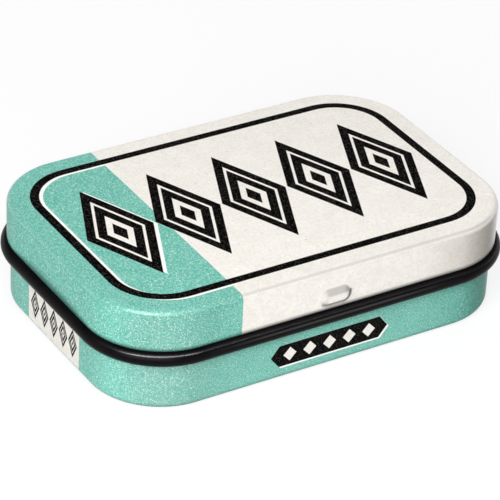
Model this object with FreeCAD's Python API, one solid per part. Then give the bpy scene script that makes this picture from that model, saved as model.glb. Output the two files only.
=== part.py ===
import FreeCAD, Part
import math
import os

# Small hinged mint tin. The origin is at the middle of its underside, the front looks along -Y
# and the hinge runs along the back. Insets run inwards from the outermost line of the rim bead,
# and bend radii are those of the inside of the sheet.

# Plan, over the rim bead
length_over_bead = 60.0
depth_over_bead = 41.0
bead_corner_radius = 11.0

# Tinplate of the two drawn shells
sheet = 0.25

# Rim bead, a half-round hoop round the base on which the lid's edge comes to rest
bead_radius = 1.0
bead_centre_height = 7.7
bead_seat_clearance = 0.02

# Lid, whose lower edge is rounded off on the outside
lid_height = 5.72
lid_inset = 0.8
lid_seat_gap = 0.08
lid_bend_radius = 0.55
lid_edge_radius = 0.18

# Thumb bump pressed out of the lid's front wall
bump_length = 4.5
bump_height = 2.4
bump_depth = 0.5
bump_bend_radius = 0.2
bump_above_edge = 0.65

# Base, whose wall runs up inside the lid as a neck and ends in a rim rolled inwards
neck_clearance = 0.25
neck_rise = 3.5
rim_roll_radius = 0.4
base_bend_radius = 0.65

# Panel pressed up in the base's floor, so that the tin stands on a flat ring
foot_width = 3.0
panel_depth = 0.3
panel_bend_radius = 0.15

# Catch pressed out of the front of the neck, behind the thumb bump
catch_length = 2.6
catch_height = 0.8
catch_depth = 0.1
catch_edge_radius = 0.08
catch_below_rim = 1.3

# Hinge: a wire in the bead, and two straps on the lid that are curled round it
wire_radius = 0.35
running_clearance = 0.05
wire_end_margin = 2.0
wire_grip = 3.0
strap_sheet = 0.2
strap_width = 6.0
strap_top_margin = 1.2
strap_corner_radius = 1.0
strap_side_clearance = 0.2
loop_clearance = 0.1

# One overrun for every cut
overrun = 1.0

# Heights and depths worked out from the sizes above
edge_tolerance = sheet / 100
base_inset = lid_inset + sheet + neck_clearance
rim_crown = bead_centre_height + neck_rise
lid_low_edge = bead_centre_height + bead_radius + lid_seat_gap
lid_top = lid_low_edge + lid_height
lid_front = lid_inset - depth_over_bead / 2
lid_back = depth_over_bead / 2 - lid_inset
neck_front = base_inset - depth_over_bead / 2

# The hinge line clears the base's wall, and its pieces share out the straight run of the back
bore_radius = wire_radius + running_clearance
loop_radius = bore_radius + strap_sheet
hinge_y = depth_over_bead / 2 - base_inset + loop_clearance + loop_radius
wire_half = length_over_bead / 2 - bead_corner_radius - wire_end_margin
strap_middle = wire_half - wire_grip - strap_width / 2
window_half = strap_width / 2 + strap_side_clearance


def point(x, y, z):
    return FreeCAD.Vector(x, y, z)


def plan_outline(inset, height):
    """Rounded rectangle of the plan, drawn in by inset, as a wire that starts along +X."""
    corner = bead_corner_radius - inset
    run_x = length_over_bead / 2 - bead_corner_radius
    run_y = depth_over_bead / 2 - bead_corner_radius
    turns = [(run_x, -run_y, -90), (run_x, run_y, 0), (-run_x, run_y, 90), (-run_x, -run_y, 180)]
    edges = []
    last = point(-run_x, -run_y - corner, height)
    for centre_x, centre_y, start in turns:
        circle = Part.Circle(point(centre_x, centre_y, height), point(0, 0, 1), corner)
        arc = Part.Arc(circle, math.radians(start), math.radians(start + 90)).toShape()
        edges.append(Part.LineSegment(last, arc.Vertexes[0].Point).toShape())
        edges.append(arc)
        last = arc.Vertexes[-1].Point
    return Part.Wire(edges)


def plan_block(inset, low, high):
    return Part.Face(plan_outline(inset, low)).extrude(point(0, 0, high - low))


def plan_tube(inset, radius, height):
    """Round section swept along the plan's outline."""
    path = plan_outline(inset, height)
    section = Part.Circle(path.Vertexes[0].Point, point(1, 0, 0), radius).toShape()
    return path.makePipeShell([Part.Wire([section])], True, False)


def round_level(block, radius, height):
    """Round the edges of a block that lie level at one height."""
    level = [edge for edge in block.Edges if edge.BoundBox.ZLength < edge_tolerance]
    there = [edge for edge in level if abs(edge.BoundBox.ZMin - height) < edge_tolerance]
    return block.makeFillet(radius, there)


def pill(length, height, middle, back, front, edge_radius):
    """Round-ended block along X that stands out towards -Y, with its front edge rounded."""
    end = height / 2
    run = length / 2 - end
    edges = []
    for side in (-1, 1):
        first = point(side * run, back, middle + side * end)
        tip = point(side * (run + end), back, middle)
        last = point(side * run, back, middle - side * end)
        after = point(-side * run, back, middle - side * end)
        edges.append(Part.Arc(first, tip, last).toShape())
        edges.append(Part.LineSegment(last, after).toShape())
    block = Part.Face(Part.Wire(edges)).extrude(point(0, front - back, 0))
    rim = [edge for edge in block.Edges if abs(edge.BoundBox.YMax - front) < edge_tolerance]
    return block.makeFillet(edge_radius, rim)


def back_stretch(half_width):
    """Box round the bead along the middle of the back, to cut out or to keep that stretch."""
    low = bead_centre_height - bead_radius - overrun
    high = bead_centre_height + bead_radius + overrun
    corner = point(-half_width, depth_over_bead / 2 - bead_corner_radius, low)
    return Part.makeBox(2 * half_width, bead_corner_radius + overrun, high - low, corner)


def hinge_rod(radius, half_length, middle_x):
    start = point(middle_x - half_length, hinge_y, bead_centre_height)
    return Part.makeCylinder(radius, 2 * half_length, start, point(1, 0, 0))


def base_tray():
    roll_height = rim_crown - rim_roll_radius
    outside = round_level(plan_block(base_inset, 0, roll_height), base_bend_radius + sheet, 0)
    inside = plan_block(base_inset + sheet, sheet, rim_crown)
    inside = round_level(inside, base_bend_radius, sheet)
    roll = plan_tube(base_inset + rim_roll_radius, rim_roll_radius, roll_height)

    panel_inset = base_inset + foot_width
    panel_top = panel_depth + sheet
    panel = plan_block(panel_inset - sheet, 0, panel_top)
    panel = round_level(panel, panel_bend_radius + sheet, panel_top)
    recess = plan_block(panel_inset, -overrun, panel_depth)
    recess = round_level(recess, panel_bend_radius, panel_depth)

    catch = pill(
        catch_length,
        catch_height,
        rim_crown - catch_below_rim,
        neck_front + sheet,
        neck_front - catch_depth,
        catch_edge_radius,
    )
    tray = outside.fuse(catch).cut(inside).fuse(roll)
    return tray.fuse(panel).cut(recess).removeSplitter()


def whole_bead():
    hoop = plan_tube(bead_radius, bead_radius, bead_centre_height)
    wall = plan_block(base_inset - bead_seat_clearance, 0, rim_crown)
    bore = hinge_rod(bore_radius, wire_half + running_clearance, 0)
    return hoop.cut(wall).cut(bore)


def rim_bead():
    return whole_bead().cut(back_stretch(strap_middle + window_half))


def hinge_bead():
    return whole_bead().common(back_stretch(strap_middle - window_half))


def hinge_wire():
    return hinge_rod(wire_radius, wire_half, 0)


def lid_shell():
    outside = plan_block(lid_inset, lid_low_edge, lid_top)
    outside = round_level(outside, lid_bend_radius + sheet, lid_top)
    outside = round_level(outside, lid_edge_radius, lid_low_edge)
    inside = plan_block(lid_inset + sheet, lid_low_edge - overrun, lid_top - sheet)
    inside = round_level(inside, lid_bend_radius, lid_top - sheet)

    bump_middle = lid_low_edge + bump_above_edge + bump_height / 2
    bump_front = lid_front - bump_depth
    bump = pill(
        bump_length,
        bump_height,
        bump_middle,
        lid_front + sheet,
        bump_front,
        bump_bend_radius + sheet,
    )
    hollow = pill(
        bump_length - 2 * sheet,
        bump_height - 2 * sheet,
        bump_middle,
        lid_front + sheet + overrun,
        bump_front + sheet,
        bump_bend_radius,
    )
    return outside.fuse(bump).cut(inside).cut(hollow).removeSplitter()


def hinge_strap(middle_x):
    """Leaf flat on the lid's back wall, whose lower end is curled right round the wire."""
    top = lid_top - lid_bend_radius - sheet - strap_top_margin
    corner = point(middle_x - strap_width / 2, lid_back, bead_centre_height)
    leaf = Part.makeBox(strap_width, strap_sheet, top - bead_centre_height, corner)
    short = [edge for edge in leaf.Edges if edge.BoundBox.YLength > edge_tolerance]
    upper = [edge for edge in short if abs(edge.BoundBox.ZMin - top) < edge_tolerance]
    leaf = leaf.makeFillet(strap_corner_radius, upper)
    loop = hinge_rod(loop_radius, strap_width / 2, middle_x)
    bore = hinge_rod(bore_radius, strap_width / 2 + overrun, middle_x)
    return leaf.fuse(loop).cut(bore).removeSplitter()


nodes = {
    "base_tray": base_tray(),
    "rim_bead": rim_bead(),
    "hinge_bead": hinge_bead(),
    "hinge_wire": hinge_wire(),
    "lid_shell": lid_shell(),
    "hinge_strap_left": hinge_strap(-strap_middle),
    "hinge_strap_right": hinge_strap(strap_middle),
}

os.makedirs("parts", exist_ok=True)
for name, shape in nodes.items():
    shape.exportStep("parts/" + name + ".step")
    print(name, "solids", len(shape.Solids), "valid", shape.isValid(), "mm3", round(shape.Volume, 3))
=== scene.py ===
import math

import bmesh
import bpy
from mathutils import Matrix, Vector


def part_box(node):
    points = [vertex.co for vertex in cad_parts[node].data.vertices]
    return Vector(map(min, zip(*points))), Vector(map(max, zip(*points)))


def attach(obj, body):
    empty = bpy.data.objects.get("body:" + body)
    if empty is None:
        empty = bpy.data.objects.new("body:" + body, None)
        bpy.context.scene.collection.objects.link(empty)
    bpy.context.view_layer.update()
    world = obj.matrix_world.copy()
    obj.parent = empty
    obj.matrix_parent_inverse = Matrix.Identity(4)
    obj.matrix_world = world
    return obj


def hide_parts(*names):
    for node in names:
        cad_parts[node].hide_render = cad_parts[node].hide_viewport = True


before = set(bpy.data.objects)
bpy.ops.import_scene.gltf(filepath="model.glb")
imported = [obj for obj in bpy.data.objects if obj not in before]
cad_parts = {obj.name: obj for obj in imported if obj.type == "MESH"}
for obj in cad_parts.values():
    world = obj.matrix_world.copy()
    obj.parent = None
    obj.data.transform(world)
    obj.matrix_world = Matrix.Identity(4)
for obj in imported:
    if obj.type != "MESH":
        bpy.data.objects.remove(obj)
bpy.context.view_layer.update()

# All sizes here are millimetres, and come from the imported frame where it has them
mm = 0.001


def nodeBox(node):
    low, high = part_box(node)
    return low / mm, high / mm


beadLow, beadHigh = nodeBox("rim_bead")
lidLow, lidHigh = nodeBox("lid_shell")
baseHigh = nodeBox("base_tray")[1]
wireLow, wireHigh = nodeBox("hinge_wire")
strapLow, strapHigh = nodeBox("hinge_strap_right")
hingeY = (wireLow.y + wireHigh.y) / 2
hingeZ = (wireLow.z + wireHigh.z) / 2
strapMiddle = (strapLow.x + strapHigh.x) / 2


# Mesh tools: every outline of the tin is one rounded rectangle, drawn in by an inset

tinplate = {
    "thickness": 0.25,
    "cornerRadius": 11.0,
    "cornerSteps": 48,
    "sideSteps": 20,
    "fineSteps": 64,  # across the middle of the front, where a pressing stands out
    "fineHalf": 3.2,
    "sharpDegrees": 50,
}
sheet = tinplate["thickness"]
coreX = beadHigh.x - tinplate["cornerRadius"]  # corner centres
coreY = beadHigh.y - tinplate["cornerRadius"]
lidInset = beadHigh.x - lidHigh.x
baseInset = beadHigh.x - baseHigh.x


def ladder(start, end, steps):
    return [start + (end - start) * i / steps for i in range(steps)]  # the end itself is left out


def smooth(value):
    value = min(max(value, 0.0), 1.0)
    return value * value * (3 - 2 * value)


def turn(x, y, startDegrees):
    angles = ladder(math.radians(startDegrees), math.radians(startDegrees + 90), tinplate["cornerSteps"])
    return [(x, y, math.cos(a), math.sin(a)) for a in angles]


# Stations round the tin from the middle of its back, each a core point and the way out from it
def roundPlan(backHalf=0.0):
    few, many, fine = tinplate["sideSteps"], tinplate["fineSteps"], tinplate["fineHalf"]
    front = ladder(-coreX, -fine, few) + ladder(-fine, fine, many) + ladder(fine, coreX, few)
    stations = [(x, coreY, 0, 1) for x in ladder(-backHalf, -coreX, few)]
    stations += turn(-coreX, coreY, 90)
    stations += [(-coreX, y, -1, 0) for y in ladder(coreY, -coreY, few)]
    stations += turn(-coreX, -coreY, 180)
    stations += [(x, -coreY, 0, -1) for x in front]
    stations += turn(coreX, -coreY, 270)
    stations += [(coreX, y, 1, 0) for y in ladder(-coreY, coreY, few)]
    stations += turn(coreX, coreY, 0)
    stations += [(x, coreY, 0, 1) for x in ladder(coreX, backHalf, few)]
    return stations


def planPoint(station, inset, height):
    x, y, outX, outY = station
    reach = tinplate["cornerRadius"] - inset
    return Vector((x + reach * outX, y + reach * outY, height))


# Arc of a profile: 0 degrees points out of the tin and 90 points up
def arc(inset, height, radius, startDegrees, endDegrees, steps):
    angles = [math.radians(startDegrees + (endDegrees - startDegrees) * i / steps) for i in range(steps + 1)]
    return [(inset - radius * math.cos(a), height + radius * math.sin(a)) for a in angles]


# Round-ended pressing in a front wall: how far it stands out at x and z
def pressedOut(press, x, z):
    end = press["height"] / 2
    past = max(abs(x) - press["length"] / 2 + end, 0.0)
    up = z - press["middle"]
    away = math.hypot(past, up)
    upper = smooth(0.5 + 0.5 * up / away) if away else 0.5  # 1 on the upper side, 0 on the lower
    slope = press["flare"] + press["shoulder"] + (press["upperShoulder"] - press["shoulder"]) * upper
    return press["depth"] * smooth((press["flare"] + end - away) / slope)


def skinGrid(bm, rows, skins, closed):
    for j in range(len(rows) - 1):
        count = len(rows[j])
        for i in range(count if closed else count - 1):
            k = (i + 1) % count
            face = bm.faces.new((rows[j][i], rows[j][k], rows[j + 1][k], rows[j + 1][i]))
            face.material_index = skins[j]


# Drawn shell: a profile taken round the whole plan, closed by a flat plate at each end
def drawnShell(profile, skins, press):
    bm = bmesh.new()
    stations = roundPlan()
    rows = []
    for inset, height in profile:
        row = []
        for station in stations:
            spot = planPoint(station, inset, height)
            if station[3] == -1:  # straight part of the front wall
                spot.y -= pressedOut(press, spot.x, spot.z)
            row.append(bm.verts.new(spot * mm))
        rows.append(row)
    skinGrid(bm, rows, skins, True)
    bm.faces.new(rows[0]).material_index = skins[0]
    bm.faces.new(rows[-1]).material_index = skins[-1]
    return bm


def closeBar(bm, rows):
    skinGrid(bm, rows, [0] * len(rows), True)
    bm.faces.new(rows[0])
    bm.faces.new(rows[-1])


# Solid bar: a closed section taken along open stations, with softened ends
def sweptBar(section, stations, endSoftness):
    bm = bmesh.new()
    middleInset = sum(p[0] for p in section) / len(section)
    middleHeight = sum(p[1] for p in section) / len(section)
    rows = []
    for i, station in enumerate(stations):
        share = 1 - endSoftness if i in (0, len(stations) - 1) else 1
        rows.append([
            bm.verts.new(planPoint(
                station,
                middleInset + (inset - middleInset) * share,
                middleHeight + (height - middleHeight) * share,
            ) * mm)
            for inset, height in section
        ])
    closeBar(bm, rows)
    return bm


def addPiece(name, bm, skins, body, node):
    bmesh.ops.recalc_face_normals(bm, faces=bm.faces[:])
    for face in bm.faces:
        face.smooth = True
    mesh = bpy.data.meshes.new(name)
    bm.to_mesh(mesh)
    bm.free()
    for skin in skins:
        mesh.materials.append(skin)
    mesh.set_sharp_from_angle(angle=math.radians(tinplate["sharpDegrees"]))
    piece = bpy.data.objects.new(name, mesh)
    bpy.context.scene.collection.objects.link(piece)
    flats = piece.modifiers.new("flatFaces", "WEIGHTED_NORMAL")
    flats.keep_sharp = True
    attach(piece, body)
    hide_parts(node)
    print("piece:", name, len(mesh.vertices), "points")


# Shader tools

def srgb(red, green, blue):
    def linear(level):
        level /= 255
        return level / 12.92 if level <= 0.04045 else ((level + 0.055) / 1.055) ** 2.4
    return (linear(red), linear(green), linear(blue), 1.0)


def addNode(tree, kind, **settings):
    node = tree.nodes.new(kind)
    for key, value in settings.items():
        setattr(node, key, value)
    return node


def feed(tree, value, socket):
    if isinstance(value, bpy.types.NodeSocket):
        tree.links.new(value, socket)
    else:
        socket.default_value = value


def calc(tree, operation, *values):
    node = addNode(tree, "ShaderNodeMath", operation=operation)
    for value, socket in zip(values, node.inputs):
        feed(tree, value, socket)
    return node.outputs[0]


def product(tree, result, *others):
    for other in others:
        result = calc(tree, "MULTIPLY", result, other)
    return result


def minus(tree, first, second):
    return calc(tree, "SUBTRACT", first, second)


def size(tree, value):
    return calc(tree, "ABSOLUTE", value)


# Two masks added, each by its own share
def blended(tree, first, firstShare, second, secondShare):
    return calc(tree, "MULTIPLY_ADD", first, firstShare, product(tree, second, secondShare))


def inverse(tree, mask):
    return minus(tree, 1.0, mask)


def diagonal(tree, wide, tall):
    return calc(tree, "SQRT", calc(tree, "MULTIPLY_ADD", wide, wide, product(tree, tall, tall)))


# 0 at low and 1 at high, eased between them
def ease(tree, value, low, high):
    node = addNode(tree, "ShaderNodeMapRange", interpolation_type="SMOOTHSTEP")
    for entry, socket in zip((value, low, high, 0.0, 1.0), node.inputs):
        feed(tree, entry, socket)
    return node.outputs[0]


# Comes in over one range and goes out over the other
def plateau(tree, value, comes, goes):
    return product(tree, ease(tree, value, *comes), ease(tree, value, *goes))


def tint(tree, share, first, second, blend="MIX"):
    node = addNode(tree, "ShaderNodeMix", data_type="RGBA", blend_type=blend)
    for value, socket in zip((share, first, second), (node.inputs[0], node.inputs[6], node.inputs[7])):
        feed(tree, value, socket)
    return node.outputs[2]


def noise(tree, place, scale, detail, roughness=0.5):
    node = addNode(tree, "ShaderNodeTexNoise")
    feed(tree, place, node.inputs["Vector"])
    feed(tree, scale, node.inputs["Scale"])
    feed(tree, detail, node.inputs["Detail"])
    feed(tree, roughness, node.inputs["Roughness"])
    return node.outputs[0]


def stretched(tree, place, amounts):
    node = addNode(tree, "ShaderNodeVectorMath", operation="MULTIPLY")
    feed(tree, place, node.inputs[0])
    feed(tree, amounts, node.inputs[1])
    return node.outputs[0]


def axes(tree, place):
    node = addNode(tree, "ShaderNodeSeparateXYZ")
    feed(tree, place, node.inputs[0])
    return node.outputs


def newGroup(name, inputs, outputs):
    tree = bpy.data.node_groups.new(name, "ShaderNodeTree")
    for label in inputs:
        kind = "NodeSocketVector" if label == "Place" else "NodeSocketFloat"
        tree.interface.new_socket(name=label, in_out="INPUT", socket_type=kind)
    for label in outputs:
        tree.interface.new_socket(name=label, in_out="OUTPUT", socket_type="NodeSocketFloat")
    return tree, tree.nodes.new("NodeGroupInput").outputs, tree.nodes.new("NodeGroupOutput").inputs


def useGroup(tree, group, **values):
    node = addNode(tree, "ShaderNodeGroup", node_tree=group)
    for label, value in values.items():
        feed(tree, value, node.inputs[label])
    return node.outputs


# Ink and varnish: light flecks, mottling, soft cloudiness, rare dark pepper and a fine relief

grainLook = {
    "mottleShare": 0.45,  # mottling is coarser than the flecks
    "cloudScale": 0.4,
    "patchScale": 0.9,  # patches where the pepper lies
    "fleck": (0.52, 0.68),  # levels of noise over which each mark sets in
    "mottle": (0.34, 0.66),
    "cloud": (0.3, 0.7),
    "pepper": (0.76, 0.82),
    "patch": (0.5, 0.6),
}


def makeInkGrain():
    tree, given, out = newGroup(
        "inkGrain", ["Place", "FleckSize", "PepperSize"], ["Fleck", "Mottle", "Cloud", "Pepper", "Relief"])
    place = given["Place"]
    mottleScale = calc(tree, "DIVIDE", grainLook["mottleShare"], given["FleckSize"])
    fine = noise(tree, place, calc(tree, "DIVIDE", 1.0, given["FleckSize"]), detail=1.0)
    mottle = noise(tree, place, mottleScale, detail=2.0, roughness=0.6)
    cloud = noise(tree, place, grainLook["cloudScale"], detail=5.0, roughness=0.6)
    spots = noise(tree, place, calc(tree, "DIVIDE", 1.0, given["PepperSize"]), detail=0.0)
    patches = noise(tree, place, grainLook["patchScale"], detail=1.0)
    pepper = product(tree, ease(tree, spots, *grainLook["pepper"]), ease(tree, patches, *grainLook["patch"]))
    feed(tree, ease(tree, fine, *grainLook["fleck"]), out["Fleck"])
    feed(tree, ease(tree, mottle, *grainLook["mottle"]), out["Mottle"])
    feed(tree, ease(tree, cloud, *grainLook["cloud"]), out["Cloud"])
    feed(tree, pepper, out["Pepper"])
    feed(tree, fine, out["Relief"])
    return tree


# Sheet metal: drawing lines along X, short scuffs and the slow waviness of thin sheet

sheetLook = {
    "lineStretch": (0.03, 1.0, 1.0),
    "scratchTurn": (0.3, 0.2, 0.7),
    "scratchStretch": (0.12, 2.2, 1.0),
    "scratchScale": 1.6,
    "scratch": (0.66, 0.74),  # levels of noise over which they set in
    "patchScale": 0.16,  # patches where the scuffs lie
    "patch": (0.5, 0.65),
    "waveScale": 0.11,
}


def makeSheetFinish():
    tree, given, out = newGroup("sheetFinish", ["Place", "LineSpacing"], ["Lines", "Scuff", "Wave"])
    place = given["Place"]
    along = stretched(tree, place, sheetLook["lineStretch"])
    lineScale = calc(tree, "DIVIDE", 1.0, given["LineSpacing"])
    lines = noise(tree, along, lineScale, detail=3.0, roughness=0.6)
    slanted = addNode(tree, "ShaderNodeMapping")
    feed(tree, place, slanted.inputs["Vector"])
    feed(tree, sheetLook["scratchTurn"], slanted.inputs["Rotation"])
    feed(tree, sheetLook["scratchStretch"], slanted.inputs["Scale"])
    scratch = noise(tree, slanted.outputs[0], sheetLook["scratchScale"], detail=2.0)
    patches = noise(tree, place, sheetLook["patchScale"], detail=2.0)
    scuff = product(
        tree, ease(tree, scratch, *sheetLook["scratch"]), ease(tree, patches, *sheetLook["patch"]))
    feed(tree, lines, out["Lines"])
    feed(tree, scuff, out["Scuff"])
    feed(tree, noise(tree, place, sheetLook["waveScale"], detail=1.0), out["Wave"])
    return tree


# Rounded box drawn flat: distance to its outline, under zero inside
def makeRoundedBox():
    tree, given, out = newGroup(
        "roundedBox", ["Across", "Up", "HalfWidth", "HalfHeight", "Corner"], ["Distance"])

    def past(place, half):
        inner = minus(tree, given[half], given["Corner"])
        return minus(tree, size(tree, given[place]), inner)

    overX, overY = past("Across", "HalfWidth"), past("Up", "HalfHeight")
    away = diagonal(tree, calc(tree, "MAXIMUM", overX, 0.0), calc(tree, "MAXIMUM", overY, 0.0))
    within = calc(tree, "MINIMUM", calc(tree, "MAXIMUM", overX, overY), 0.0)
    feed(tree, minus(tree, calc(tree, "ADD", away, within), given["Corner"]), out["Distance"])
    return tree


# Row of lozenges with an inline: the printed lines, and the field that they enclose

printEdge = {"soft": 0.03, "lozengeSoft": 0.02}  # half the width of a printed edge


def makeLozengeRow():
    tree, given, out = newGroup(
        "lozengeRow",
        ["Across", "Up", "Pitch", "EachSide", "HalfWidth", "HalfHeight", "Line", "Inline", "Heart"],
        ["Ink", "Field"])
    nearest = calc(tree, "ROUND", calc(tree, "DIVIDE", given["Across"], given["Pitch"]))
    nearest = calc(tree, "MINIMUM", nearest, given["EachSide"])
    nearest = calc(tree, "MAXIMUM", nearest, product(tree, given["EachSide"], -1.0))
    local = minus(tree, given["Across"], product(tree, nearest, given["Pitch"]))
    wide, tall = given["HalfWidth"], given["HalfHeight"]
    share = calc(tree, "ADD", calc(tree, "DIVIDE", size(tree, local), wide),
                 calc(tree, "DIVIDE", size(tree, given["Up"]), tall))
    reach = calc(tree, "DIVIDE", product(tree, wide, tall), diagonal(tree, wide, tall))  # middle to side
    depth = product(tree, inverse(tree, share), reach)

    def deeperThan(level):
        above = calc(tree, "ADD", level, printEdge["lozengeSoft"])
        below = minus(tree, level, printEdge["lozengeSoft"])
        return ease(tree, depth, below, above)

    inner = calc(tree, "ADD", given["Line"], given["Inline"])
    hollow = calc(tree, "ADD", inner, given["Line"])
    field = deeperThan(0.0)
    ink = minus(tree, field, deeperThan(given["Line"]))
    ink = calc(tree, "ADD", ink, minus(tree, deeperThan(inner), deeperThan(hollow)))
    heart = deeperThan(minus(tree, reach, given["Heart"]))
    feed(tree, calc(tree, "MAXIMUM", ink, heart), out["Ink"])
    feed(tree, field, out["Field"])
    return tree


inkGrain = makeInkGrain()
sheetFinish = makeSheetFinish()
roundedBox = makeRoundedBox()
lozengeRow = makeLozengeRow()
print("shader groups:", len(bpy.data.node_groups))


def startMaterial(name):
    material = bpy.data.materials.new(name)
    material.use_nodes = True
    tree = material.node_tree
    shader = tree.nodes["Principled BSDF"]
    place = addNode(tree, "ShaderNodeVectorMath", operation="SCALE")
    feed(tree, addNode(tree, "ShaderNodeTexCoord").outputs["Object"], place.inputs[0])
    feed(tree, 1 / mm, place.inputs["Scale"])
    return material, tree, shader, place.outputs[0]


# Each mask adds its own roughness to that of the whole
def addRoughness(tree, shader, look, **masks):
    rough = look["roughness"]
    for name, mask in masks.items():
        rough = calc(tree, "MULTIPLY_ADD", mask, look[name + "Roughness"], rough)
    feed(tree, rough, shader.inputs["Roughness"])


def addCoat(tree, shader, look, weight):
    feed(tree, weight, shader.inputs["Coat Weight"])
    feed(tree, look["coatRoughness"], shader.inputs["Coat Roughness"])
    feed(tree, look["coatIor"], shader.inputs["Coat IOR"])


def addRelief(tree, shader, height, depth):
    bump = addNode(tree, "ShaderNodeBump")
    feed(tree, 1.0, bump.inputs["Strength"])
    feed(tree, depth * mm, bump.inputs["Distance"])
    feed(tree, height, bump.inputs["Height"])
    feed(tree, bump.outputs[0], shader.inputs["Normal"])


# Lid: sizes that its shape and its print both follow

lid = {
    "crown": 0.07,
    "bend": 0.8,
    "edgeRise": 0.22,  # the wall's lower edge is eased inwards
    "edgeDepth": 0.07,
    "plateRings": (9.8, 8.4, 7.0, 5.8, 4.8, 3.9, 3.2, 2.6, 2.2, 1.9),
    "bendSteps": 12,
    "wallSteps": 48,
    "edgeSteps": 10,
    "rawEdgeSteps": 4,
    "innerBendSteps": 8,
    "bump": {"length": 4.5, "height": 2.4, "aboveEdge": 0.65,
             "flare": 0.1, "shoulder": 0.6, "upperShoulder": 0.95},
}

# Print on the outside of lid and base

inks = {
    "mint": srgb(120, 196, 180),
    "mintFleck": srgb(196, 234, 225),
    "mintDeep": srgb(92, 174, 157),
    "cream": srgb(248, 245, 238),
    "creamCloud": srgb(231, 226, 218),
    "pepper": srgb(150, 142, 132),
    "white": srgb(250, 250, 246),
    "black": srgb(2, 2, 2),
    "blackFleck": srgb(96, 90, 85),
    # painted shade along the lid's lower edge and the bump's foot
    "darkShade": srgb(52, 51, 50),
    "mintDarkShade": srgb(16, 60, 52),
    "fleckSize": 0.16,
    "pepperSize": 0.16,
    "mintMottleShare": 0.7,  # how strongly the grain shows
    "mintCloudShare": 0.3,
    "mintFleckShare": 0.8,
    "creamMottleShare": 0.5,
    "creamCloudShare": 0.3,
    "pepperShare": 0.8,
    "blackFleckShare": 0.38,
    "roughness": 0.28,
    "fleckRoughness": 0.1,
    "inkRoughness": -0.05,
    "scuffRoughness": -0.08,
    "specular": 0.03,
    "coatRoughness": 0.3,
    "coatIor": 1.6,
    "relief": 0.004,
    "waveHeight": 6.0,  # beside the grain's own relief
    "inkHeight": 0.35,
}

# Painted shade towards the corners: less green on the left, where the lamp lights them brightest, and darker
# on the right, where they turn away from the lamp

corners = {
    "leftTone": (1.0, 0.84, 0.85, 1.0),
    "turn": 6.3,  # from the corners' centres towards front and back
    "turnSlope": 3.2,
    "reach": (-8.0, 6.5),
    "rightEnd": (27.0, 24.5),  # none of it on the right end wall
}

lidPrint = {
    "splitX": -13.3,  # mint to its left, cream to its right
    "keylineInset": 3.5,
    "keylineWidth": 1.2,
    "keylineCorner": 6.8,
    "row": {"Pitch": 9.7, "EachSide": 2.0, "HalfWidth": 4.7, "HalfHeight": 10.9,
            "Line": 1.15, "Inline": 0.36, "Heart": 0.85},
    "shadow": 0.36,  # white second strike, to the right and towards the front
    # painted shade on the lid's right corners
    "rightCornerShade": (0.58, 0.565, 0.55, 1.0),
    "cornerDepth": (0.3, 0.9),  # below the top, where the corners' painted shade sets in
    "bendTone": (0.84, 0.84, 0.84, 1.0),  # painted shade on the bend round the top, at the front and the left, where the lamps light it most
    "bendComes": (0.02, 0.16),
    "bendGoes": (0.95, 0.6),
    "bendLeft": 0.67,
    "bendFront": 0.74,
    "bendFacing": (-0.1, 0.4),
    "shadeGrey": srgb(196, 193, 188),  # painted shade: grey line along the front of the bend, below the top
    "creaseShadeDepth": 0.24,
    "creaseShadeReach": (0.17, 0.04),
    "creaseShadeFront": (-17.0, -19.0),
    "shadeGreyShare": 0.75,
    "seamHeight": 0.75,  # painted shade along the lower edge, above the bead
    "leftSeamHeight": 2.0,  # and more of it along the left end
    "leftSeamEnd": (0.3, 0.05),
    "leftSeamHalf": (11.0, 3.0),
    "seamPower": 1.3,
    "seamShare": 0.85,
    "varnishComes": (0.08, 0.18),  # varnish on the bend, below the top
    "varnishGoes": (0.66, 0.52),
    "endVarnish": (23.5, 26.0),  # and down the right end
    "endVarnishDepth": (0.5, 0.8),
}


def belowEdge(tree, value, edge):
    return ease(tree, minus(tree, edge, value), -printEdge["soft"], printEdge["soft"])


def printedPaper(tree, place, mintMask):
    grain = useGroup(tree, inkGrain, Place=place, FleckSize=inks["fleckSize"], PepperSize=inks["pepperSize"])
    deep = blended(tree, grain["Mottle"], inks["mintMottleShare"], grain["Cloud"], inks["mintCloudShare"])
    mint = tint(tree, deep, inks["mint"], inks["mintDeep"])
    mint = tint(tree, product(tree, grain["Fleck"], inks["mintFleckShare"]), mint, inks["mintFleck"])
    faint = blended(tree, grain["Mottle"], inks["creamMottleShare"], grain["Cloud"], inks["creamCloudShare"])
    cream = tint(tree, faint, inks["cream"], inks["creamCloud"])
    cream = tint(tree, product(tree, grain["Pepper"], inks["pepperShare"]), cream, inks["pepper"])
    return grain, cream, tint(tree, mintMask, cream, mint)


# Painted shade: the colour is multiplied down towards each corner's tone
def paintedCornerShade(tree, x, y, colour, share, rightShade):
    pastX = minus(tree, size(tree, x), coreX)
    pastY = minus(tree, size(tree, y), coreY + corners["turn"])
    past = calc(tree, "MINIMUM", pastX, product(tree, pastY, corners["turnSlope"]))
    corner = product(tree, ease(tree, past, *corners["reach"]), ease(tree, x, *corners["rightEnd"]), share)
    tone = tint(tree, ease(tree, x, -coreX, coreX), corners["leftTone"], rightShade)
    return tint(tree, corner, colour, tone, "MULTIPLY")


def blackInk(tree, grain):
    specks = product(tree, grain["Fleck"], grain["Fleck"], inks["blackFleckShare"])
    return tint(tree, specks, inks["black"], inks["blackFleck"])


def finishPrint(tree, shader, place, grain, colour, inkMask):
    finish = useGroup(tree, sheetFinish, Place=place)
    feed(tree, colour, shader.inputs["Base Color"])
    addRoughness(tree, shader, inks, fleck=grain["Fleck"], ink=inkMask, scuff=finish["Scuff"])
    feed(tree, inks["specular"], shader.inputs["Specular IOR Level"])
    height = calc(tree, "MULTIPLY_ADD", finish["Wave"], inks["waveHeight"], grain["Relief"])
    height = calc(tree, "MULTIPLY_ADD", inkMask, inks["inkHeight"], height)
    addRelief(tree, shader, height, inks["relief"])


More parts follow.
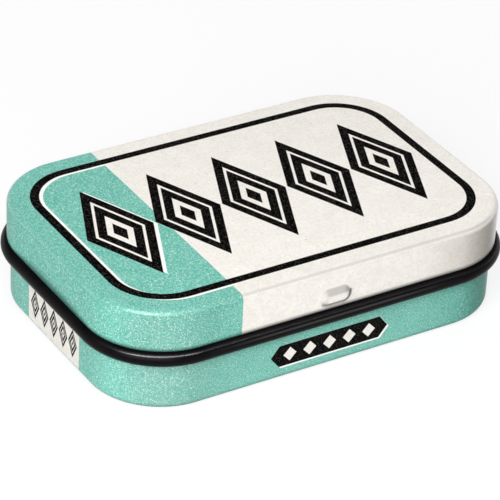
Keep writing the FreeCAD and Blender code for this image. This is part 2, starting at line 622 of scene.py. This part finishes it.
def lidArt(tree, across, up):
    row = useGroup(tree, lozengeRow, Across=across, Up=up, **lidPrint["row"])
    outline = useGroup(
        tree, roundedBox, Across=across, Up=up, Corner=lidPrint["keylineCorner"],
        HalfWidth=lidHigh.x - lidPrint["keylineInset"], HalfHeight=lidHigh.y - lidPrint["keylineInset"])
    keyline = belowEdge(tree, size(tree, outline["Distance"]), lidPrint["keylineWidth"] / 2)
    return calc(tree, "MAXIMUM", row["Ink"], keyline), row["Field"]


# Thumb bump: painted shade, grey on its upper slope, dark along its right and lower foot, darker on its left
# end

bumpMarks = {
    "inside": (0.1, -0.15),  # distance to its outline, over which the marks set in
    # painted grey shade on the upper slope
    "shadeGrey": srgb(172, 168, 162),
    "slopeShadeUp": (0.1, 0.5),
    "slopeShadeFrom": (-2.1, -1.0),
    "shadeGreyShare": 0.9,
    # painted shadow along the foot
    "footInset": 0.04,
    "footReach": (0.42, 0.1),
    "footSlant": 0.3,
    "footDown": (0.1, 0.5),
    "footFrom": (-2.7, -1.7),
    "footRight": (0.8, 1.8),  # full strength on the right
    "footLeftShare": 0.6,
    "footShare": 0.8,
    # painted shade on the left end
    "tone": (0.72, 0.72, 0.72, 1.0),
    "toneFrom": (-1.0, -1.7),
}


# Masks of painted shade on the bump: upper slope, foot and left end
def bumpShade(tree, x, y, z):
    bump = lid["bump"]
    up = minus(tree, z, lidLow.z + bump["aboveEdge"] + bump["height"] / 2)
    away = useGroup(
        tree, roundedBox, Across=x, Up=up, Corner=bump["height"] / 2,
        HalfWidth=bump["length"] / 2, HalfHeight=bump["height"] / 2)["Distance"]
    onFront = belowEdge(tree, y, 0.0)
    inside = product(tree, ease(tree, away, *bumpMarks["inside"]), onFront)
    wearAndShade = product(tree, inside, ease(tree, up, *bumpMarks["slopeShadeUp"]), ease(tree, x, *bumpMarks["slopeShadeFrom"]))

    fromFoot = size(tree, calc(tree, "ADD", away, bumpMarks["footInset"]))
    down = calc(tree, "MULTIPLY_ADD", x, bumpMarks["footSlant"], product(tree, up, -1.0))
    least = bumpMarks["footLeftShare"]
    right = calc(tree, "MULTIPLY_ADD", ease(tree, x, *bumpMarks["footRight"]), 1 - least, least)
    footShadow = product(
        tree, ease(tree, fromFoot, *bumpMarks["footReach"]), ease(tree, down, *bumpMarks["footDown"]),
        ease(tree, x, *bumpMarks["footFrom"]), right, onFront)
    leftEndShade = product(tree, inside, ease(tree, x, *bumpMarks["toneFrom"]))
    return wearAndShade, footShadow, leftEndShade


def makePrintedLid():
    material, tree, shader, place = startMaterial("printedLid")
    x, y, z = axes(tree, place)
    mintMask = belowEdge(tree, x, lidPrint["splitX"])
    grain, cream, colour = printedPaper(tree, place, mintMask)

    ink, field = lidArt(tree, x, y)
    shift = lidPrint["shadow"]
    strike = lidArt(tree, minus(tree, x, shift), calc(tree, "ADD", y, shift))[0]
    colour = tint(tree, product(tree, strike, mintMask), colour, inks["white"])
    colour = tint(tree, field, colour, cream)

    depth = minus(tree, lidHigh.z, z)
    leftward = product(tree, x, -lidPrint["bendLeft"] / lidHigh.x)
    facing = calc(tree, "MULTIPLY_ADD", y, -lidPrint["bendFront"] / lidHigh.y, leftward)
    # Painted shade on the bend round the top
    bend = plateau(tree, depth, lidPrint["bendComes"], lidPrint["bendGoes"])
    bend = product(tree, bend, ease(tree, facing, *lidPrint["bendFacing"]))
    wearAndShade, footShadow, leftEndShade = bumpShade(tree, x, y, z)
    colour = tint(tree, bend, colour, lidPrint["bendTone"], "MULTIPLY")
    # Painted shade on the bump's left end
    colour = tint(tree, leftEndShade, colour, bumpMarks["tone"], "MULTIPLY")
    # Painted shade towards the corners of the wall
    onWall = ease(tree, depth, *lidPrint["cornerDepth"])
    colour = paintedCornerShade(tree, x, y, colour, onWall, lidPrint["rightCornerShade"])

    # Painted shade: grey line along the front of the bend
    fromCrease = size(tree, minus(tree, depth, lidPrint["creaseShadeDepth"]))
    shadeGrey = product(
        tree, ease(tree, fromCrease, *lidPrint["creaseShadeReach"]), ease(tree, y, *lidPrint["creaseShadeFront"]),
        inverse(tree, mintMask), lidPrint["shadeGreyShare"])
    colour = tint(tree, shadeGrey, colour, lidPrint["shadeGrey"])
    # Painted shade on the bump's upper slope and its foot
    colour = tint(tree, product(tree, wearAndShade, bumpMarks["shadeGreyShare"]), colour, bumpMarks["shadeGrey"])
    colour = tint(tree, product(tree, footShadow, bumpMarks["footShare"]), colour, inks["darkShade"])

    # Painted shade along the lower edge, taller along the left end
    leftEnd = (inset - lidHigh.x for inset in lidPrint["leftSeamEnd"])
    onLeft = product(
        tree, ease(tree, x, *leftEnd), ease(tree, size(tree, y), *lidPrint["leftSeamHalf"]))
    low, high = lidPrint["seamHeight"], lidPrint["leftSeamHeight"]
    seamTop = calc(tree, "MULTIPLY_ADD", onLeft, high - low, low)
    darkShade = ease(tree, minus(tree, z, lidLow.z), seamTop, 0.0)
    darkShade = product(tree, calc(tree, "POWER", darkShade, lidPrint["seamPower"]), lidPrint["seamShare"])
    colour = tint(tree, darkShade, colour, tint(tree, mintMask, inks["darkShade"], inks["mintDarkShade"]))

    onBend = plateau(tree, depth, lidPrint["varnishComes"], lidPrint["varnishGoes"])
    onEnd = ease(tree, x, *lidPrint["endVarnish"])
    onEnd = product(tree, onEnd, ease(tree, depth, *lidPrint["endVarnishDepth"]))
    addCoat(tree, shader, inks, calc(tree, "MAXIMUM", onBend, onEnd))
    colour = tint(tree, ink, colour, blackInk(tree, grain))
    finishPrint(tree, shader, place, grain, colour, ink)
    return material


basePrint = {
    # painted shade on the base's right corners
    "rightCornerShade": (0.6, 0.73, 0.7, 1.0),
    "paintedLift": 0.07,  # painted light: the base's mint is made a little paler than the lid's, against the shade below the bead
    "endReach": 0.6,  # how far in from the ends and the front their print reaches
    "frontReach": 0.5,
    "blockHalf": 6.7,  # cream block on each end wall
    "blockFrom": 0.62,
    "blockMiddle": 3.55,
    "endRow": {"Pitch": 2.5, "EachSide": 2.0, "HalfWidth": 1.12, "HalfHeight": 2.1,
               "Line": 0.27, "Inline": 0.1, "Heart": 0.16},
    "stripHalf": 8.6,  # black strip with pointed ends on the front wall
    "stripHalfHeight": 1.55,
    "stripMiddle": 3.45,
    "stripPoint": 0.8,
    "gemRow": {"Pitch": 2.9, "EachSide": 2.0, "HalfWidth": 0.95, "HalfHeight": 1.0},  # in the strip
    "shadow": 0.24,  # white second strike, to the right and down
}


def frontStrip(tree, across, up):
    upward = size(tree, up)
    ends = calc(tree, "MULTIPLY_ADD", upward, basePrint["stripPoint"], size(tree, across))
    past = minus(tree, ends, basePrint["stripHalf"])
    above = minus(tree, upward, basePrint["stripHalfHeight"])
    return belowEdge(tree, calc(tree, "MAXIMUM", past, above), 0.0)


def makePrintedBase():
    material, tree, shader, place = startMaterial("printedBase")
    x, y, z = axes(tree, place)

    inner = belowEdge(tree, size(tree, x), baseHigh.x - basePrint["endReach"])
    beside = belowEdge(tree, size(tree, y), basePrint["blockHalf"])
    under = belowEdge(tree, z, basePrint["blockFrom"])
    block = product(tree, beside, inverse(tree, under), inverse(tree, inner))
    mintMask = inverse(tree, block)
    grain, cream, colour = printedPaper(tree, place, mintMask)
    # Painted light: the base's mint lifted a little paler
    colour = tint(tree, product(tree, mintMask, basePrint["paintedLift"]), colour, inks["mintFleck"])

    up = minus(tree, z, basePrint["blockMiddle"])
    ends = useGroup(tree, lozengeRow, Across=y, Up=up, **basePrint["endRow"])

    onFront = belowEdge(tree, y, -baseHigh.y + basePrint["frontReach"])
    up = minus(tree, z, basePrint["stripMiddle"])
    shift = basePrint["shadow"]
    strike = frontStrip(tree, minus(tree, x, shift), calc(tree, "ADD", up, shift))
    gems = useGroup(tree, lozengeRow, Across=x, Up=up, **basePrint["gemRow"])
    strip = product(tree, frontStrip(tree, x, up), onFront)
    colour = tint(tree, product(tree, strike, onFront), colour, inks["white"])
    colour = tint(tree, strip, colour, cream)
    stripInk = product(tree, strip, inverse(tree, gems["Field"]))
    ink = calc(tree, "MAXIMUM", product(tree, ends["Ink"], block), stripInk)

    # Painted shade towards the corners
    colour = paintedCornerShade(tree, x, y, colour, 1.0, basePrint["rightCornerShade"])
    colour = tint(tree, ink, colour, blackInk(tree, grain))
    finishPrint(tree, shader, place, grain, colour, ink)
    return material


# Bare tinplate of the insides, the raw edges and the neck

bareMetal = {
    "colour": srgb(221, 220, 216),
    "dull": srgb(190, 189, 186),
    "cloudShare": 0.5,
    "lineShare": 0.4,
    "lineSpacing": 0.09,
    "roughness": 0.21,
    "lineRoughness": 0.16,
    "scuffRoughness": 0.12,
    "relief": 0.003,
    "waveHeight": 5.0,  # beside the lines' own relief
}


def makeBareTin():
    material, tree, shader, place = startMaterial("bareTin")
    finish = useGroup(tree, sheetFinish, Place=place, LineSpacing=bareMetal["lineSpacing"])
    grain = useGroup(tree, inkGrain, Place=place)
    shade = blended(tree, grain["Cloud"], bareMetal["cloudShare"], finish["Lines"], bareMetal["lineShare"])
    colour = tint(tree, shade, bareMetal["colour"], bareMetal["dull"])
    feed(tree, colour, shader.inputs["Base Color"])
    feed(tree, 1.0, shader.inputs["Metallic"])
    addRoughness(tree, shader, bareMetal, line=finish["Lines"], scuff=finish["Scuff"])
    height = calc(tree, "MULTIPLY_ADD", finish["Wave"], bareMetal["waveHeight"], finish["Lines"])
    addRelief(tree, shader, height, bareMetal["relief"])
    return material


# Black lacquer of the bead

lacquer = {
    "colour": srgb(9, 8, 10),
    "rubbed": srgb(20, 17, 19),
    "cloudShare": 0.5,
    "fleckSize": 0.25,
    "roughness": 0.3,
    "fleckRoughness": 0.05,
    "scuffRoughness": 0.15,
    "specular": 0.05,
    "coatRoughness": 0.24,
    "coatIor": 1.8,
    "shoulderComes": (0.6, 0.68),  # polished band on the shoulder, above the wire's middle
    "shoulderGoes": (0.9, 0.82),
    "front": (-11.0, -15.0),
    "rightEnd": (28.0, 20.0),
    "glossBack": 0.06,  # what is left of it away from the front
    "middleComes": (0.1, 0.32),  # fainter band along the middle of the front
    "middleGoes": (0.6, 0.38),
    "middleHalf": (20.0, 6.0),
    "middleWeight": 0.5,
    "relief": 0.004,
    "waveHeight": 4.0,  # beside the grain's own relief
}


def makeBlackLacquer():
    material, tree, shader, place = startMaterial("blackLacquer")
    finish = useGroup(tree, sheetFinish, Place=place)
    grain = useGroup(tree, inkGrain, Place=place, FleckSize=lacquer["fleckSize"])
    x, y, z = axes(tree, place)
    above = minus(tree, z, hingeZ)

    front = product(tree, ease(tree, y, *lacquer["front"]), ease(tree, x, *lacquer["rightEnd"]))
    polish = calc(tree, "MULTIPLY_ADD", front, 1 - lacquer["glossBack"], lacquer["glossBack"])
    shoulder = product(tree, plateau(tree, above, lacquer["shoulderComes"], lacquer["shoulderGoes"]), polish)
    middle = product(
        tree, plateau(tree, above, lacquer["middleComes"], lacquer["middleGoes"]),
        ease(tree, size(tree, x), *lacquer["middleHalf"]), front, lacquer["middleWeight"])
    addCoat(tree, shader, lacquer, calc(tree, "MAXIMUM", shoulder, middle))

    wearAndShade = calc(tree, "MAXIMUM", product(tree, grain["Cloud"], lacquer["cloudShare"]), finish["Scuff"])
    feed(tree, tint(tree, wearAndShade, lacquer["colour"], lacquer["rubbed"]), shader.inputs["Base Color"])
    addRoughness(tree, shader, lacquer, fleck=grain["Fleck"], scuff=finish["Scuff"])
    feed(tree, lacquer["specular"], shader.inputs["Specular IOR Level"])
    height = calc(tree, "MULTIPLY_ADD", finish["Wave"], lacquer["waveHeight"], grain["Relief"])
    addRelief(tree, shader, height, lacquer["relief"])
    return material


printedLid = makePrintedLid()
printedBase = makePrintedBase()
bareTin = makeBareTin()
blackLacquer = makeBlackLacquer()
print("materials:", len(bpy.data.materials))


# Lid: top plate with a slight crown, bend, wall with the thumb bump, raw edge, then the same inside

def makeLid():
    top, low, bend, bump = lidHigh.z, lidLow.z, lid["bend"], dict(lid["bump"])
    bump["depth"] = -lidLow.y - lidHigh.y
    bump["middle"] = low + bump["aboveEdge"] + bump["height"] / 2
    shoulder = top - lid["crown"]  # where the top plate runs into the bend
    rise, depth, steps = lid["edgeRise"], lid["edgeDepth"], lid["edgeSteps"]
    rawEdge = (sheet - depth) / 2

    def plate(drop):
        rings = lid["plateRings"]
        span = rings[0] - lidInset - bend
        return [(i, shoulder - drop + lid["crown"] * smooth((i - lidInset - bend) / span)) for i in rings]

    def easedEdge(share):
        angle = math.radians(90 * share)
        return lidInset + depth * (1 - math.cos(angle)), low + rise * (1 - math.sin(angle))

    wall = ladder(shoulder - bend, low + rise, lid["wallSteps"])
    profile = plate(0) + arc(lidInset + bend, shoulder - bend, bend, 90, 0, lid["bendSteps"])
    profile += [(lidInset, z) for z in wall[1:]]
    profile += [easedEdge(i / steps) for i in range(steps + 1)]
    printed = len(profile) - 1
    profile += arc(lidInset + sheet - rawEdge, low + rawEdge, rawEdge, -90, -180, lid["rawEdgeSteps"])
    profile += [(lidInset + sheet, z) for z in reversed(wall[1:])]
    profile += arc(lidInset + bend, shoulder - bend, bend - sheet, 0, 90, lid["innerBendSteps"])
    profile += plate(sheet)[::-1]
    skins = [0 if j < printed else 1 for j in range(len(profile))]
    addPiece("tinLid", drawnShell(profile, skins, bump), [printedLid, bareTin],
             "lid", "lid_shell")


# Base: foot ring round a pressed-up panel, wall, neck with its catch, rolled rim, then the inside

base = {
    "bend": 0.9,
    "footWidth": 3.0,
    "panelRise": 0.3,
    "panelBend": 0.15,
    "rollRadius": 0.4,
    "rollGap": 0.02,  # from the roll's edge down to the next ring of the wall
    "printTop": 8.6,  # the print ends behind the bead
    "panelRings": (9.8, 7.5, 5.8, 4.9),
    "panelSteps": 5,
    "bendSteps": 12,
    "wallSteps": 12,
    "neckSteps": 30,
    "rollSteps": 20,
    "innerBendSteps": 10,
    "catch": {"length": 2.6, "height": 0.8, "belowRim": 1.3, "depth": 0.1,
              "flare": 0.08, "shoulder": 0.2, "upperShoulder": 0.2},
}


def makeBase():
    bend, rise, small, roll = base["bend"], base["panelRise"], base["panelBend"], base["rollRadius"]
    few = base["panelSteps"]
    catch = dict(base["catch"])
    catch["middle"] = baseHigh.z - catch["belowRim"]
    panel = baseInset + base["footWidth"]
    rollMiddle = baseHigh.z - roll
    wall = ladder(bend, base["printTop"], base["wallSteps"])[1:]
    neck = ladder(base["printTop"], rollMiddle, base["neckSteps"])

    profile = [(i, rise) for i in base["panelRings"]]
    profile += arc(panel + small, rise - small, small, 90, 0, few)
    profile += arc(panel - small, small, small, 180, 270, few)[1:]
    profile += arc(baseInset + bend, bend, bend, 270, 360, base["bendSteps"])
    profile += [(baseInset, z) for z in wall]
    printed = len(profile)
    profile += [(baseInset, z) for z in neck]
    inside = math.degrees(math.acos((roll - sheet) / roll))  # where the roll comes back to the wall
    profile += arc(baseInset + roll, rollMiddle, roll, 0, 360 - inside, base["rollSteps"])
    rollEdge = profile[-1][1] - base["rollGap"]
    profile += [(baseInset + sheet, z) for z in reversed(neck) if z < rollEdge]
    profile += [(baseInset + sheet, z) for z in reversed(wall)]
    profile += arc(baseInset + bend, bend, bend - sheet, 0, -90, base["innerBendSteps"])
    profile += arc(panel - sheet - small, sheet + small, small, 270, 180, few)
    profile += arc(panel - sheet + small, sheet + rise - small, small, 0, 90, few)[1:]
    profile += [(i, sheet + rise) for i in reversed(base["panelRings"])]
    skins = [0 if j < printed else 1 for j in range(len(profile))]
    addPiece("tinBase", drawnShell(profile, skins, catch), [printedBase, bareTin],
             "base", "base_tray")


# Bead: half-round hoop with a window for each hinge strap at the back

bead = {"windowHalf": 3.2, "seat": 0.02, "sectionSteps": 30, "endSoftness": 0.08, "endSetBack": 0.08}


def makeBeads():
    radius = (beadHigh.z - beadLow.z) / 2
    flat = math.degrees(math.acos(1 - (baseInset - bead["seat"]) / radius))
    section = arc(radius, beadLow.z + radius, radius, -flat, flat, bead["sectionSteps"])
    setBack = bead["endSetBack"]

    outer = strapMiddle + bead["windowHalf"]
    stations = [(-outer, coreY, 0, 1)] + roundPlan(outer + setBack)
    stations += [(x, coreY, 0, 1) for x in (outer + setBack, outer)]
    addPiece("rimBead", sweptBar(section, stations, bead["endSoftness"]), [blackLacquer],
             "base", "rim_bead")

    inner = strapMiddle - bead["windowHalf"]
    middle = ladder(inner - setBack, setBack - inner, tinplate["sideSteps"])
    places = [inner] + middle + [setBack - inner, -inner]
    stations = [(x, coreY, 0, 1) for x in places]
    addPiece("hingeBead", sweptBar(section, stations, bead["endSoftness"]), [blackLacquer],
             "base", "hinge_bead")


# Hinge straps: a leaf on the lid's back, set out over the wire and curled round it

strap = {
    "thickness": 0.2,
    "cornerRadius": 1.0,
    "bendFrom": 1.5,  # above the wire's middle
    "curlDegrees": 250,
    "cornerSteps": 8,
    "leafSteps": 34,
    "bendSteps": 16,
    "curlSteps": 40,
    "acrossSteps": 44,
    "edgeRound": 0.06,
    "edgeShare": 0.55,  # of the thickness, left at the sides
    "weldRadius": 0.6,
    "weldSlope": 0.3,
    "weldDepth": 0.06,
    "weldAcross": 1.45,
    "weldHeight": 3.3,
}


# Tinned steel of the straps and the wire, dulled where the straps are welded to the lid

hingeMetal = {
    "colour": srgb(184, 184, 183),
    "dull": srgb(136, 134, 131),
    "weld": srgb(92, 88, 84),
    "lineShare": 0.7,
    "cloudShare": 0.3,
    "lineSpacing": 0.06,
    "fleckSize": 0.3,
    "roughness": 0.22,
    "lineRoughness": 0.2,
    "fleckRoughness": 0.08,
    "ringAt": 0.75,  # ring in each weld, by its radius
    "ringReach": 0.25,
    "ringShare": 0.7,
    "relief": 0.004,
}


def makeHingeSteel():
    material, tree, shader, place = startMaterial("hingeSteel")
    finish = useGroup(tree, sheetFinish, Place=place, LineSpacing=hingeMetal["lineSpacing"])
    grain = useGroup(tree, inkGrain, Place=place, FleckSize=hingeMetal["fleckSize"])
    shade = blended(tree, finish["Lines"], hingeMetal["lineShare"], grain["Cloud"], hingeMetal["cloudShare"])
    colour = tint(tree, shade, hingeMetal["colour"], hingeMetal["dull"])

    across, y, z = axes(tree, place)
    for middle in (strapMiddle, strap["weldAcross"]):
        across = minus(tree, size(tree, across), middle)
    up = minus(tree, z, hingeZ + strap["weldHeight"])
    radius = strap["weldRadius"]
    fromRing = minus(tree, diagonal(tree, across, up), hingeMetal["ringAt"] * radius)
    ring = ease(tree, size(tree, fromRing), hingeMetal["ringReach"] * radius, 0.0)
    colour = tint(tree, product(tree, ring, hingeMetal["ringShare"]), colour, hingeMetal["weld"])
    feed(tree, colour, shader.inputs["Base Color"])
    feed(tree, 1.0, shader.inputs["Metallic"])
    addRoughness(tree, shader, hingeMetal, line=finish["Lines"], fleck=grain["Fleck"])
    addRelief(tree, shader, finish["Lines"], hingeMetal["relief"])
    return material


hingeSteel = makeHingeSteel()


def makeStrap(name, node):
    low, high = nodeBox(node)
    half, middleX = (high.x - low.x) / 2, (high.x + low.x) / 2
    thick = strap["thickness"]
    top = high.z - hingeZ
    leafOut = lidHigh.y - hingeY + thick / 2
    curl = hingeZ - low.z - thick / 2  # middle radius of the curl

    path = []
    radius = strap["cornerRadius"]
    cornerHeight, cornerX = top - radius, half - radius
    for i in range(strap["cornerSteps"] + 1):
        angle = math.radians(90 - 90 * i / strap["cornerSteps"])
        path.append((leafOut, cornerHeight + radius * math.sin(angle), cornerX + radius * math.cos(angle)))
    path += [(leafOut, h, half) for h in ladder(cornerHeight, strap["bendFrom"], strap["leafSteps"])[1:]]
    for i in range(strap["bendSteps"]):
        share = i / strap["bendSteps"]
        path.append((leafOut + (curl - leafOut) * smooth(share), strap["bendFrom"] * (1 - share), half))
    for i in range(strap["curlSteps"] + 1):
        angle = -math.radians(strap["curlDegrees"]) * i / strap["curlSteps"]
        path.append((curl * math.cos(angle), curl * math.sin(angle), half))

    def weld(x, height):
        away = math.hypot(abs(x) - strap["weldAcross"], height - strap["weldHeight"])
        return strap["weldDepth"] * smooth((strap["weldRadius"] - away) / strap["weldSlope"])

    bm = bmesh.new()
    steps = strap["acrossSteps"]
    shares = [-1.0, strap["edgeRound"] / half - 1] + [2 * i / steps - 1 for i in range(1, steps)]
    shares += [1 - strap["edgeRound"] / half, 1.0]
    outerRows, innerRows = [], []
    for i, (out, height, width) in enumerate(path):
        before, after = path[max(i - 1, 0)], path[min(i + 1, len(path) - 1)]
        run = Vector((after[0] - before[0], after[1] - before[1]))
        away = Vector((-run.y, run.x)).normalized() * thick / 2  # square to the path, towards the outside
        outerRow, innerRow = [], []
        for share in shares:
            x = share * width
            slim = strap["edgeShare"] if abs(share) == 1 else 1.0
            dent = weld(x, height) if out == leafOut else 0.0
            outerRow.append(bm.verts.new(Vector((
                middleX + x, hingeY + out + away.x * slim - dent, hingeZ + height + away.y * slim)) * mm))
            innerRow.append(bm.verts.new(Vector((
                middleX + x, hingeY + out - away.x * slim, hingeZ + height - away.y * slim)) * mm))
        outerRows.append(outerRow)
        innerRows.append(innerRow)
    skinGrid(bm, outerRows, [0] * len(path), False)
    skinGrid(bm, innerRows, [0] * len(path), False)
    for end in (0, -1):
        skinGrid(bm, [outerRows[end], innerRows[end]], [0], False)
        skinGrid(bm, [[row[end] for row in outerRows], [row[end] for row in innerRows]], [0], False)
    addPiece(name, bm, [hingeSteel], "lid", node)


# Hinge wire: drawn wire with chamfered ends, shown in the windows

wire = {"sides": 40, "lengthSteps": 34, "chamfer": 0.1}


def makeWire():
    radius = (wireHigh.z - wireLow.z) / 2
    chamfer = wire["chamfer"]
    start, end = wireLow.x + chamfer, wireHigh.x - chamfer
    places = [(wireLow.x, radius - chamfer), (start, radius)]
    places += [(x, radius) for x in ladder(start, end, wire["lengthSteps"])[1:]]
    places += [(end, radius), (wireHigh.x, radius - chamfer)]
    bm = bmesh.new()
    angles = ladder(0, 2 * math.pi, wire["sides"])
    rows = [
        [bm.verts.new(Vector((x, hingeY + r * math.cos(a), hingeZ + r * math.sin(a))) * mm) for a in angles]
        for x, r in places
    ]
    closeBar(bm, rows)
    addPiece("hingeWire", bm, [hingeSteel], "base", "hinge_wire")


makeLid()
makeBase()
makeBeads()
makeStrap("hingeStrapLeft", "hinge_strap_left")
makeStrap("hingeStrapRight", "hinge_strap_right")
makeWire()
print("pieces done")


# Studio: pale sweep all round, dim ceiling, two lamps at the front left and two behind

studio = {
    "floorReach": 1600.0,
    "floorRings": (0.05, 0.2, 0.5, 1.0),  # by its reach
    "sweepRadius": 500.0,
    "sweepSteps": 12,
    "aroundSteps": 96,
    "wallHeight": 700.0,
    "floorColour": srgb(140, 140, 140),
    "floorRoughness": 0.9,
    "floorLevel": -0.02,  # just under the foot ring
    "floorLift": 0.75,  # brings the floor up to white where it is seen
    "farLift": 0.84,  # and more so away from the tin
    "farFrom": (60.0, 300.0),
    "ceiling": 0.08,
    "lamps": {
        "keyLamp": {"from": 224, "up": 29, "away": 450, "wide": 450, "tall": 310, "watts": 2.8},
        "stripLamp": {"from": 246, "up": 56, "away": 300, "wide": 380, "tall": 12, "watts": 0.3},
        "topLamp": {"from": 65, "up": 62, "away": 500, "wide": 400, "tall": 300, "watts": 0.25},
        "fillLamp": {"from": 48, "up": 12, "away": 500, "wide": 500, "tall": 180, "watts": 1.5,
                     "sheen": False},  # not mirrored in the tin
    },
}
view = {
    "target": (-1.64, -2.27, 8.0),
    "azimuth": -32.456,
    "elevation": 31.738,
    "roll": 2.814,
    "distance": 372.7,
    "nearest": 10.0,
    "lens": 209.96,
    "sensor": 36.0,
}


def seenRays(tree):
    rays = addNode(tree, "ShaderNodeLightPath").outputs
    seen = calc(tree, "MAXIMUM", rays["Is Camera Ray"], rays["Is Glossy Ray"])
    return calc(tree, "MAXIMUM", seen, rays["Is Transmission Ray"])


def makePalePaper():
    material, tree, shader, place = startMaterial("palePaper")
    feed(tree, studio["floorColour"], shader.inputs["Base Color"])
    feed(tree, studio["floorRoughness"], shader.inputs["Roughness"])
    feed(tree, 0.0, shader.inputs["Specular IOR Level"])
    feed(tree, (1, 1, 1, 1), shader.inputs["Emission Color"])
    away = addNode(tree, "ShaderNodeVectorMath", operation="LENGTH")
    feed(tree, place, away.inputs[0])
    far = ease(tree, away.outputs["Value"], *studio["farFrom"])
    more = studio["farLift"] - studio["floorLift"]
    lift = product(tree, seenRays(tree), calc(tree, "MULTIPLY_ADD", far, more, studio["floorLift"]))
    feed(tree, lift, shader.inputs["Emission Strength"])
    return material


# Floor that sweeps up into a round wall
def makeSweep():
    reach, radius = studio["floorReach"], studio["sweepRadius"]
    level, steps = studio["floorLevel"], studio["sweepSteps"]
    outline = [(reach * share, level) for share in studio["floorRings"]]
    for i in range(1, steps + 1):
        angle = math.radians(90 * i / steps)
        outline.append((reach + radius * math.sin(angle), level + radius - radius * math.cos(angle)))
    outline.append((reach + radius, studio["wallHeight"]))
    bm = bmesh.new()
    angles = ladder(2 * math.pi, 0, studio["aroundSteps"])  # this way round, so that it faces up and in
    rows = [
        [bm.verts.new(Vector((away * math.cos(a), away * math.sin(a), height)) * mm) for a in angles]
        for away, height in outline
    ]
    skinGrid(bm, rows, [0] * len(rows), True)
    bm.faces.new(rows[0][::-1])
    for face in bm.faces:
        face.smooth = True
    mesh = bpy.data.meshes.new("studioSweep")
    bm.to_mesh(mesh)
    bm.free()
    mesh.materials.append(makePalePaper())
    sweep = bpy.data.objects.new("studioSweep", mesh)
    bpy.context.scene.collection.objects.link(sweep)


def makeWorld():
    world = bpy.data.worlds.new("dimCeiling")
    world.use_nodes = True
    background = world.node_tree.nodes["Background"]
    background.inputs["Color"].default_value = (1, 1, 1, 1)
    background.inputs["Strength"].default_value = studio["ceiling"]
    bpy.context.scene.world = world


def makeLamp(name, lamp):
    around, up = math.radians(lamp["from"]), math.radians(lamp["up"])
    way = Vector((math.cos(around) * math.cos(up), math.sin(around) * math.cos(up), math.sin(up)))
    data = bpy.data.lights.new(name, "AREA")
    data.shape = "RECTANGLE"
    data.size = lamp["wide"] * mm
    data.size_y = lamp["tall"] * mm
    data.energy = lamp["watts"]
    piece = bpy.data.objects.new(name, data)
    piece.location = way * lamp["away"] * mm
    piece.rotation_euler = way.to_track_quat("Z", "Y").to_euler()
    piece.visible_glossy = lamp.get("sheen", True)
    bpy.context.scene.collection.objects.link(piece)


def makeCamera():
    around, up, roll = (math.radians(view[key]) for key in ("azimuth", "elevation", "roll"))
    back = Vector((math.sin(around) * math.cos(up), -math.cos(around) * math.cos(up), math.sin(up)))
    level = Vector((math.cos(around), math.sin(around), 0))
    upright = back.cross(level)
    right = level * math.cos(roll) + upright * math.sin(roll)
    top = upright * math.cos(roll) - level * math.sin(roll)
    spot = (Vector(view["target"]) + back * view["distance"]) * mm
    data = bpy.data.cameras.new("photoView")
    data.lens = view["lens"]
    data.sensor_width = view["sensor"]
    data.clip_start = view["nearest"] * mm
    camera = bpy.data.objects.new("photoView", data)
    camera.matrix_world = Matrix((
        (right.x, top.x, back.x, spot.x), (right.y, top.y, back.y, spot.y),
        (right.z, top.z, back.z, spot.z), (0, 0, 0, 1)))
    bpy.context.scene.collection.objects.link(camera)
    bpy.context.scene.camera = camera


makeSweep()
makeWorld()
for lampName, lampValues in studio["lamps"].items():
    makeLamp(lampName, lampValues)
makeCamera()
bpy.context.scene.view_settings.view_transform = "Standard"
print("studio done")
